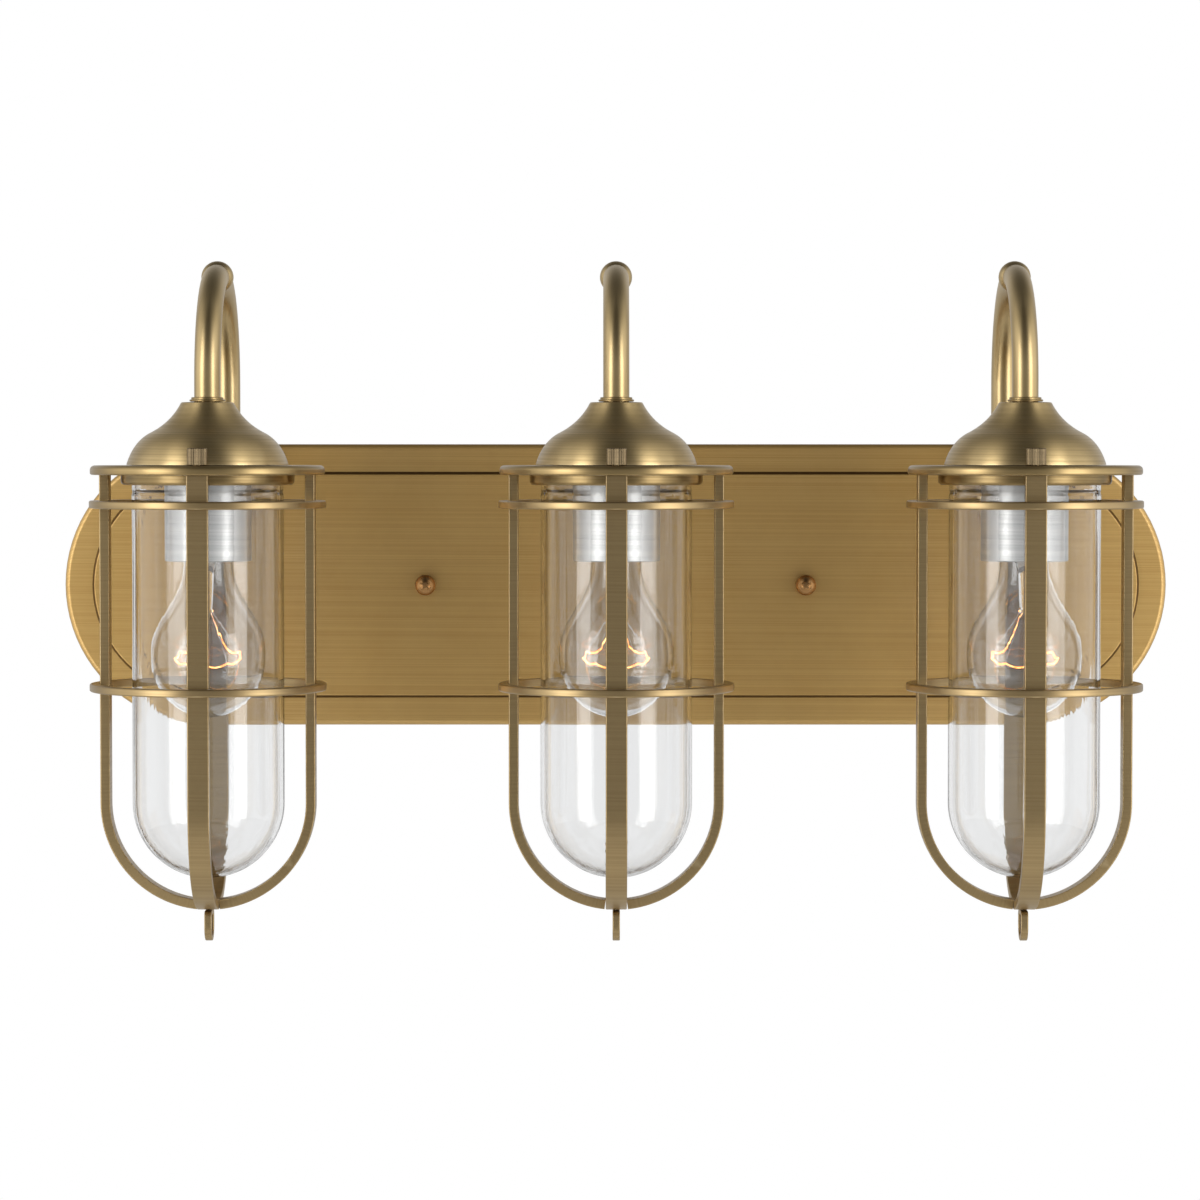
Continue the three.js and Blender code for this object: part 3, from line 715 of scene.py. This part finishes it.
def arm_path():
    """The tube's middle line in the plane of depth and height, from the wall to the cap."""
    low, high = local("arm")
    cap_top = local("bell_cap")[1].z
    foot = low.z + FOOT_RADIUS
    plate_face = high.y - ARM_TAIL
    elbow = ARM_SPAN + ELBOW_RADIUS
    spring = high.z - ARM_SPAN / 2 - TUBE_RADIUS
    flat = [Vector((plate_face + ARM_TAIL - 2 * MM * i, foot)) for i in range(5)]
    elbow_top = foot + ELBOW_RADIUS
    flat += arc((elbow, elbow_top), ELBOW_RADIUS, 270, 180, 20)
    flat += [Vector((ARM_SPAN, elbow_top + (spring - elbow_top) * t)) for t in (0.33, 0.66)]
    flat += arc((ARM_SPAN / 2, spring), ARM_SPAN / 2, 0, 180, 72)
    flat += [Vector((0, spring + (cap_top - ARM_TONGUE - spring) * t)) for t in (0.5, 1)]
    return [Vector((0, y, z)) for y, z in flat]


def gooseneck():
    """The open bent tube, and the turned foot that it wears on the plate."""
    path = arm_path()
    side = Vector((1, 0, 0))
    rows = []
    for radius, order in ((TUBE_RADIUS, 1), (TUBE_RADIUS - TUBE_WALL, -1)):
        skin = []
        for i, point in enumerate(path):
            along = path[min(i + 1, len(path) - 1)] - path[max(i - 1, 0)]
            skin.append(ring_about(point, side, along.normalized().cross(side), radius, SMALL))
        rows += skin[::order]
    bm = bmesh.new()
    add_grid(bm, rows, closed_rows=True)
    low, high = local("arm")
    inside = TUBE_RADIUS - TUBE_WALL / 2
    fillet = 1.4 * MM
    foot = rounded([
        (inside, 0),
        (FOOT_RADIUS, 0, SMALL_EDGE),
        (FOOT_RADIUS, FOOT_THICKNESS, 2.5 * MM),
        (TUBE_RADIUS + fillet, FOOT_THICKNESS, 1.2 * MM),
        (TUBE_RADIUS, FOOT_THICKNESS + fillet),
        (inside, FOOT_THICKNESS + fillet),
    ])
    on_plate = Vector((0, high.y - ARM_TAIL - TOUCHING_GAP, low.z + FOOT_RADIUS))
    add_turned(bm, foot, ROUND, closed=True, place=Matrix.Translation(on_plate) @ INTO_ROOM)
    put_on_lamps("gooseneck", finished(bm, "gooseneck"), [arm_brass], "arm")


def gooseneck_band():
    low, high = local("arm_collar")
    half = (high.y - low.y) / 2
    crown = (high.z - low.z) / 2
    bore = TUBE_RADIUS - 0.1 * MM
    profile = [Vector((bore, -half)), *bezier((bore, -half), (2 * crown - bore, 0), (bore, half), 20)]
    mesh = turned("gooseneck_band", profile, ROUND, closed=True)
    mesh.transform(Matrix.Translation((low + high) / 2) @ INTO_ROOM)
    put_on_lamps("gooseneck_band", mesh, [arm_brass], "arm_collar")


# ---------------------------------------------------------------- cap and holder

def stacked_washer():
    low, high = local("cap_washer")
    rim = (high.x - low.x) / 2
    bore = TUBE_RADIUS + 0.1 * MM
    middle = (low.z + high.z) / 2
    step = 0.9 * MM
    outline = [
        (bore, low.z),
        (rim, low.z, 0.55 * MM),
        (rim, middle, 0.55 * MM),
        (rim - step, middle, 0.15 * MM),
        (rim - step, high.z, 0.45 * MM),
        (bore, high.z, 0.3 * MM),
    ]
    mesh = turned("stacked_washer", rounded(outline, closed=True), ROUND, closed=True)
    # Its darker brass is painted shade.
    put_on_lamps("stacked_washer", mesh, [shaded_lamp_brass], "cap_washer")


def spun_bell():
    """The bell: a full hip over the rim, then a flare that narrows to a flat top."""
    low, high = local("bell_cap")
    base = (high.x - low.x) / 2
    skirt = 0.5 * MM
    wall = 1.2 * MM
    hip = (base - 3.5 * MM, low.z + 11.8 * MM)
    crease = (base - 11.9 * MM, low.z + 16.4 * MM)
    waist = (18.8 * MM, low.z + 21.9 * MM)
    shoulder = (13.5 * MM, high.z)
    bore = TUBE_RADIUS + 0.3 * MM
    profile = [Vector((base, low.z)), Vector((base, low.z + skirt))]
    profile += bezier(profile[-1], hip, crease, 18)
    flare = bezier(crease, waist, shoulder, 22)
    profile += flare[:-2]
    profile += rounded([flare[-3], (*shoulder, 1.1 * MM), (bore, high.z)])[1:]
    inside = offset(profile, wall)
    mesh = turned("spun_bell", [*profile, *reversed(inside)], FINE, closed=True)
    put_on_lamps("spun_bell", mesh, [lamp_brass], "bell_cap")


def rolled_holder():
    """The disc, with its edge rolled down, and the neck ring under it that takes the jar."""
    low, high = local("shade_holder")
    radius = (high.x - low.x) / 2
    depth = 4.9 * MM
    wall = 1.5 * MM
    wire_hole = 5 * MM
    bore = 41 * MM
    ring = 44.9 * MM
    outline = [
        (wire_hole, 0),
        (wire_hole, -wall),
        (bore, -wall, SMALL_EDGE),
        (bore, low.z, 0.6 * MM),
        (ring, low.z, 3.4 * MM),
        (ring, -depth - 0.6 * MM, 0.5 * MM),
        (ring + 0.4 * MM, -wall, 0.3 * MM),
        (radius - depth / 2, -wall, 0.4 * MM),
        (radius - depth / 2, -depth, 0.3 * MM),
        (radius, -depth, depth / 2),
        (radius, 0, depth / 2),
    ]
    mesh = turned("rolled_holder", rounded(outline, closed=True, steps=8), FINE, closed=True)
    # Its darker brass is painted shade.
    put_on_lamps("rolled_holder", mesh, [shaded_lamp_brass], "shade_holder")


# ---------------------------------------------------------------- socket and bulb

def nickel_cup():
    """The drawn cup, open below, with a rolled lip."""
    low, high = local("socket_cup")
    radius = (high.x - low.x) / 2
    wall = 1.2 * MM
    shoulder = 5 * MM
    wire_hole = 5 * MM
    lip_radius = 0.8 * MM
    lip_place = radius - 0.75 * MM
    outside = rounded([
        (radius, low.z + lip_radius),
        (radius, high.z, shoulder),
        (wire_hole, high.z),
    ], steps=10)
    lip = arc((lip_place, low.z + lip_radius), lip_radius, -180, 0, 10)
    inside = offset(outside, wall)
    inside[0] = Vector((lip_place - lip_radius, low.z + lip_radius))
    mesh = turned("nickel_cup", [*lip[:-1], *outside, *reversed(inside[1:])], ROUND, closed=True)
    put_on_lamps("nickel_cup", mesh, [satin_nickel], "socket_cup")


def porcelain_core():
    """The porcelain body, with the bore that takes the bulb's screw base."""
    low, high = local("socket_core")
    radius = (high.x - low.x) / 2
    bore = 13.9 * MM
    bore_end = low.z + 26.9 * MM
    chamfer = 5 * MM
    outline = [
        (0, bore_end),
        (bore, bore_end),
        (bore, low.z, 0.8 * MM),
        (radius, low.z, 1.2 * MM),
        (radius, high.z - chamfer),
        (radius - chamfer, high.z, 0.8 * MM),
        (0, high.z),
    ]
    mesh = turned("porcelain_core", rounded(outline), ROUND)
    put_on_lamps("porcelain_core", mesh, [glaze], "socket_core")


def screw_base():
    """The threaded shell, with the dark glass insulator and the round contact at its end."""
    low, high = local("bulb_base")
    radius = (high.x - low.x) / 2
    shell = low.z + 19.5 * MM
    pitch = 3.63 * MM
    depth = 0.9 * MM
    core = radius - depth / 2
    chamfer = 0.6 * MM
    margin = 2 * MM
    contact = 5 * MM
    contact_height = 1.2 * MM
    steps = 110
    run = shell - low.z - 2 * chamfer
    profile = [(0, low.z), (core - chamfer, low.z)]
    profile += [(core, low.z + chamfer + run * i / steps) for i in range(steps + 1)]
    profile += [(core - 1 * MM, shell), (0, shell)]
    bm = bmesh.new()
    add_turned(bm, profile, SMALL, thread=(pitch, depth, low.z + margin, shell - margin))
    seat = high.z - contact_height
    glass = rounded([(core - 1 * MM, shell), (7 * MM, seat, 1 * MM), (0, seat)])
    add_turned(bm, glass, SMALL, finish=1)
    tip = rounded([(contact, seat - 0.1 * MM), (contact, high.z, 0.6 * MM), (0, high.z)])
    add_turned(bm, tip, SMALL)
    mesh = finished(bm, "screw_base")
    put_on_lamps("screw_base", mesh, [satin_nickel, dark_glass], "bulb_base", "bulb")


def bulb_shell():
    """The pear-shaped envelope: a round end, then a smooth shoulder up to the neck."""
    low, high = local("bulb_glass")
    radius = (high.x - low.x) / 2
    wall = 0.6 * MM
    neck = 12.8 * MM
    dome = 32.4 * MM
    widest = low.z + dome
    straight = high.z - 4 * MM
    pull = (straight - widest) * 0.45
    dome_steps = 28
    shoulder_steps = 32
    outside = []
    for i in range(dome_steps + 1):
        turn = math.pi / 2 * i / dome_steps
        outside.append(Vector((radius * math.sin(turn), widest - dome * math.cos(turn))))
    a, b = Vector((radius, widest)), Vector((radius, widest + pull))
    c, d = Vector((neck, straight - pull)), Vector((neck, straight))
    for i in range(1, shoulder_steps + 1):
        t = i / shoulder_steps
        outside.append(a * (1 - t) ** 3 + b * 3 * t * (1 - t) ** 2 + c * 3 * t * t * (1 - t) + d * t ** 3)
    outside.append(Vector((neck, high.z)))
    inside = offset(outside, wall)
    inside[0].x = 0
    outside[0].x = 0
    mesh = turned("bulb_envelope", [*outside, *reversed(inside)], ROUND)
    put_on_lamps("bulb_envelope", mesh, [bulb_glass], "bulb_glass", "bulb")


def wires(name, paths, radius, sides):
    """Thin round wires along paths of points, whose sections turn as little as they can."""
    bm = bmesh.new()
    for path in paths:
        rows = []
        for i, point in enumerate(path):
            along = (path[min(i + 1, len(path) - 1)] - path[max(i - 1, 0)]).normalized()
            side = along.orthogonal() if i == 0 else side - along * side.dot(along)
            side.normalize()
            rows.append(ring_about(point, side, along.cross(side), radius, sides))
        add_grid(bm, rows)
        add_ends(bm, rows)
    return finished(bm, name)


def bulb_stem():
    """The glass stem that carries the wires. Gives the height of its end."""
    high = local("bulb_glass")[1]
    foot = high.z - 1 * MM
    end = high.z - 31 * MM
    outline = rounded([
        (0, foot),
        (6 * MM, foot),
        (3.4 * MM, foot - 9 * MM, 3 * MM),
        (2.3 * MM, end + 3 * MM, 2 * MM),
        (3.2 * MM, end, 1 * MM),
        (0, end),
    ], steps=6)
    put_on_lamps("bulb_stem", turned("bulb_stem", outline, SMALL), [bulb_glass], body="bulb")
    return end


def filament_feet():
    """Where wires hold the filament, round a wide loop that is open at the back and lower at the front."""
    supports = 9
    height = local("bulb_glass")[0].z + 32 * MM
    radius = 17.5 * MM
    droop = 4 * MM
    first, last = math.radians(-245), math.radians(65)
    turns = [first + (last - first) * k / (supports - 1) for k in range(supports)]
    return [Vector((radius * math.cos(t), radius * math.sin(t), height + droop * math.sin(t))) for t in turns]


def filament_wires(feet, stem_end):
    """A wire from the stem to each foot. The first and the last carry the current, and glow."""
    steps = 10
    paths = []
    for foot in feet:
        start = Vector((foot.x * 0.12, foot.y * 0.12, stem_end + 1 * MM))
        bend = Vector((foot.x * 0.5, foot.y * 0.5, stem_end - 8 * MM))
        paths.append([start, *bezier(start, bend, foot, steps)])
    leads = wires("lead_wires", [paths[0], paths[-1]], 0.2 * MM, 6)
    put_on_lamps("lead_wires", leads, [tungsten], body="bulb")
    hooks = wires("support_wires", paths[1:-1], 0.12 * MM, 6)
    put_on_lamps("support_wires", hooks, [satin_nickel], body="bulb")


def filament(feet):
    """The coil, which sags a little between its feet."""
    per_turn = 8
    steps = 16 * per_turn
    sag = 1.6 * MM
    coil_radius = 0.35 * MM
    up = Vector((0, 0, 1))
    coil = []
    for a, b in zip(feet, feet[1:]):
        for i in range(steps):
            t = i / steps
            middle = a.lerp(b, t) - up * (sag * math.sin(math.pi * t))
            out = Vector((middle.x, middle.y, 0)).normalized()
            spin = 2 * math.pi * i / per_turn
            coil.append(middle + (out * math.cos(spin) + up * math.sin(spin)) * coil_radius)
    mesh = wires("filament", [coil], 0.14 * MM, 5)
    put_on_lamps("filament", mesh, [tungsten], body="bulb")


def bulb_inside():
    stem_end = bulb_stem()
    feet = filament_feet()
    filament_wires(feet, stem_end)
    filament(feet)


def clear_jar():
    """The jar, open at the top, with a bead and a thread round its neck and a half-round bottom."""
    low, high = local("jar")
    radius = 39.4 * MM
    wall = 2 * MM
    inner = radius - wall
    centre = low.z + radius
    thread = (high.x - low.x) / 2
    bead = -14 * MM
    bead_depth = 0.45 * MM
    bead_half = 1.6 * MM
    neck = radius - 0.2 * MM
    outline = rounded([
        (radius, centre),
        (radius, bead - bead_half, 1 * MM),
        (radius - bead_depth, bead, 1 * MM),
        (neck, bead + bead_half, 1 * MM),
        (neck, high.z - 4 * MM, 0.8 * MM),
        (thread, high.z - 3 * MM, 0.6 * MM),
        (thread, high.z - 1 * MM, 0.6 * MM),
        (radius, high.z, 0.5 * MM),
        (inner, high.z, 0.7 * MM),
        (inner, centre),
    ])
    bowl = arc((0, centre), radius, -90, -3, 29)
    inside = arc((0, centre), inner, -3, -90, 29)
    bowl[0].x = 0
    inside[-1].x = 0
    mesh = turned("clear_jar", [*bowl, *outline, *inside], FINE)
    put_on_lamps("clear_jar", mesh, [jar_glass], "jar", "jar")


# ---------------------------------------------------------------- cage

def strap_section(width, thickness, edge=0.6 * MM):
    """A strap's section, with rounded corners, as (sideways, outwards) points about its middle."""
    corners = [(-width / 2, -thickness / 2, edge), (width / 2, -thickness / 2, edge)]
    corners += [(width / 2, thickness / 2, edge), (-width / 2, thickness / 2, edge)]
    return [tuple(p) for p in rounded(corners, closed=True, steps=4)]


def strap_sizes():
    """The straps' width, their middle radius, and the height of the centre of their round bottom."""
    low, high = local("cage_strap")
    outer = (high.y - low.y) / 2
    return high.x - low.x, outer - STRAP_THICKNESS / 2, low.z + outer


def strap_leg(radius, centre):
    """The middle of a straight strap, as (outwards, height) points from its top to the round bottom."""
    top = local("cage_side_right")[1].z
    return [Vector((radius, centre + (top - centre) * t)) for t in (1, 0.75, 0.5, 0.25)]


def front_strap():
    """The strap that runs from the front to the back under the jar, with a stud on each end."""
    width, radius, centre = strap_sizes()
    leg = strap_leg(radius, centre)
    bottom = arc((0, centre), radius, 0, -180, 72)
    other_leg = [Vector((-p.x, p.y)) for p in reversed(leg)]
    path = [Vector((0, y, z)) for y, z in [*leg, *bottom, *other_leg]]
    bm = bmesh.new()
    add_swept(bm, path, strap_section(width, STRAP_THICKNESS), Vector((1, 0, 0)))
    stud_top = local("cage_strap")[1].z
    root = leg[0].y - 2 * MM
    stud = rounded([(STUD_RADIUS, root), (STUD_RADIUS, stud_top, 0.4 * MM), (0, stud_top)])
    for side in (-1, 1):
        add_turned(bm, stud, 24, place=Matrix.Translation((0, side * radius, 0)))
    mesh = finished(bm, "bent_strap")
    put_on_lamps("bent_strap", mesh, [cage_brass], "cage_strap", "cage")


def side_straps():
    """The two straps that butt against the front one under the jar."""
    width, radius, centre = strap_sizes()
    seam = width / 2 + TOUCHING_GAP
    last = -math.degrees(math.acos(seam / radius))
    flat = strap_leg(radius, centre) + arc((0, centre), radius, 0, last, 34)
    for side, sign in (("right", 1), ("left", -1)):
        bm = bmesh.new()
        path = [Vector((x * sign, 0, z)) for x, z in flat]
        add_swept(bm, path, strap_section(width, STRAP_THICKNESS), Vector((0, 1, 0)))
        mesh = finished(bm, f"bent_side_{side}")
        put_on_lamps(f"bent_side_{side}", mesh, [cage_brass], f"cage_side_{side}", "cage")


def hoops():
    outer_strap = local("cage_side_right")[1].x
    for which in ("upper", "lower"):
        low, high = local(f"cage_ring_{which}")
        outer = (high.x - low.x) / 2
        inner = outer_strap + TOUCHING_GAP
        edge = 0.9 * MM
        outline = [
            (inner, low.z, edge / 2),
            (outer, low.z, edge),
            (outer, high.z, edge),
            (inner, high.z, edge / 2),
        ]
        mesh = turned(f"hoop_{which}", rounded(outline, closed=True), FINE, closed=True)
        put_on_lamps(f"hoop_{which}", mesh, [cage_brass], f"cage_ring_{which}", "cage")


def hook_eye():
    """The flat loop under the cage: two short legs with square shoulders, and a round end."""
    low, high = local("cage_eye")
    half = (high.y - low.y) / 2
    strip = 2.5 * MM
    radius = half - strip / 2
    top = high.z - strip / 2
    bottom = low.z + half
    bend = 2 * MM
    flat = rounded([(radius, bottom), (radius, top, bend), (-radius, top, bend), (-radius, bottom)], steps=8)
    flat += arc((0, bottom), radius, 180, 360, 32)[1:-1]
    section = strap_section(high.x - low.x, strip, 0.5 * MM)
    bm = bmesh.new()
    add_swept(bm, [Vector((0, y, z)) for y, z in flat], section, Vector((1, 0, 0)), closed=True)
    put_on_lamps("hook_eye", finished(bm, "hook_eye"), [cage_brass], "cage_eye", "cage")


def knurled_nuts():
    """The thumb nuts, fluted round their sides, with a blind bore for the stud."""
    low, high = local("thumb_nut_front")
    radius = (high.x - low.x) / 2
    flutes = 26
    steps = 6
    sides = flutes * steps
    edge = 0.7 * MM
    flute = 0.32 * MM
    recess = 0.4 * MM
    bore = 2.5 * MM
    bore_end = low.z + (high.z - low.z) * 0.8
    outline = rounded([
        (0, bore_end),
        (bore, bore_end),
        (bore, low.z, 0.2 * MM),
        (radius, low.z, 0.3 * MM),
        (radius, high.z, edge),
        (radius * 0.55, high.z, 0.3 * MM),
        (radius * 0.5, high.z - recess, 0.3 * MM),
        (0, high.z - recess),
    ])
    rows = []
    for r, z in outline:
        row = []
        for k in range(sides):
            turn = 2 * math.pi * k / sides
            wave = 0.5 - 0.5 * math.cos(2 * math.pi * k / steps)
            cut = flute * wave if r > radius - edge / 2 else 0
            row.append(((r - cut) * math.cos(turn), (r - cut) * math.sin(turn), z))
        rows.append(row)
    bm = bmesh.new()
    add_grid(bm, rows)
    mesh = finished(bm, "knurled_nut", 50)
    for side in ("front", "back"):
        for lamp in LAMPS:
            node = f"{lamp}_thumb_nut_{side}"
            middle = middle_of(node)
            place = Matrix.Translation(Vector((middle.x, middle.y, origin_of(lamp).z)))
            put(f"{lamp}_knurled_nut_{side}", mesh, [nut_brass], node, [node], place)


# ---------------------------------------------------------------- room

def studio():
    """White to the eye and through glass, and softly lit from both sides in everything that reflects.

    turn is how far round from straight ahead of the light a direction is, and rise how far up, in radians.
    """
    world = bpy.data.worlds.new("studio")
    bpy.context.scene.world = world
    n = Nodes(world, "OutputWorld")
    x, y, z = n.add("SeparateXYZ", {0: n.add("TexCoord").outputs["Generated"]}).outputs
    turn = n.math("ABSOLUTE", n.math("ARCTAN2", x, n.math("MULTIPLY", y, -1.0)))
    rise = n.math("ABSOLUTE", n.math("ARCSINE", z))
    sides = n.math("MULTIPLY", n.span(turn, 0.45, 0.9), n.span(turn, 1.6, 2.2, 1.0, 0.28))
    level = n.math("MULTIPLY", sides, n.span(rise, 0.45, 1.15, 1.0, 0.15))
    ahead = n.span(rise, 0.25, 0.8, 0.36, 0.06)
    strength = n.math("ADD", n.math("MULTIPLY", level, 0.95), ahead)
    path = n.add("LightPath")
    seen = n.math("MAXIMUM", path.outputs["Is Camera Ray"], path.outputs["Is Transmission Ray"])
    room = n.add("Background", {0: (1.0, 0.995, 0.985, 1.0), 1: strength})
    white = n.add("Background", {0: (1.0, 1.0, 1.0, 1.0), 1: 1.0})
    n.surface(n.add("MixShader", {0: seen, 1: room.outputs[0], 2: white.outputs[0]}).outputs[0])


def softbox(name, side):
    """An upright softbox in front of the light, on its left for a side of -1 or its right for 1."""
    light = bpy.data.lights.new(name, "AREA")
    light.shape = "RECTANGLE"
    light.size = SOFTBOX_WIDTH
    light.size_y = SOFTBOX_HEIGHT
    light.energy = SOFTBOX_WATTS
    light.color = (1.0, 0.99, 0.97)
    lamp = bpy.data.objects.new(name, light)
    bpy.context.scene.collection.objects.link(lamp)
    lamp.location = (side * SOFTBOX_SIDE, -SOFTBOX_FRONT, SOFTBOX_RISE)
    towards = Vector((0, ROOM_MIDDLE, 0)) - lamp.location
    lamp.rotation_euler = towards.to_track_quat("-Z", "Y").to_euler()


def floor():
    """A pale disc, well below the lowest cage, with a faint grain."""
    n = material_nodes("pale_floor")
    grain = n.noise(n.object_place(), 30.0)
    colour = n.mix(grain, rgb(244, 244, 243), rgb(250, 250, 249))
    shader = n.add("BsdfPrincipled", {
        "Base Color": colour,
        "Roughness": 0.8,
        "Emission Color": (1.0, 1.0, 1.0, 1.0),
        "Emission Strength": FLOOR_GLOW,
    })
    rings = 12
    mesh = turned("pale_floor", [Vector((FLOOR_RADIUS * i / rings, 0)) for i in range(rings + 1)], FINE)
    mesh.materials.append(n.surface(shader.outputs[0]))
    ground = bpy.data.objects.new("pale_floor", mesh)
    bpy.context.scene.collection.objects.link(ground)
    ground.location = (0, ROOM_MIDDLE, cad_box[0].z - FLOOR_DROP)


def camera():
    """Straight in front of the backplate and a little above its middle, aimed a little below it."""
    low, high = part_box("backplate")
    face = Vector(((low.x + high.x) / 2, low.y, (low.z + high.z) / 2))
    lens = bpy.data.cameras.new("camera")
    lens.lens = LENS
    lens.sensor_width = 36
    eye = bpy.data.objects.new("camera", lens)
    bpy.context.scene.collection.objects.link(eye)
    eye.location = face + Vector((-CAMERA_LEFT, -CAMERA_BACK, CAMERA_RISE))
    aim = face + Vector((-AIM_LEFT, 0, -AIM_DROP))
    eye.rotation_euler = (aim - eye.location).to_track_quat("-Z", "Y").to_euler()
    bpy.context.scene.camera = eye


camera()
studio()
floor()
softbox("left_softbox", -1)
softbox("right_softbox", 1)
bpy.context.scene.view_settings.view_transform = "Standard"

backplate()
mounting_bar()
ball_nuts()
ground_screw()
gooseneck()
gooseneck_band()
stacked_washer()
spun_bell()
rolled_holder()
nickel_cup()
porcelain_core()
screw_base()
bulb_shell()
bulb_inside()
clear_jar()
front_strap()
side_straps()
hoops()
hook_eye()
knurled_nuts()
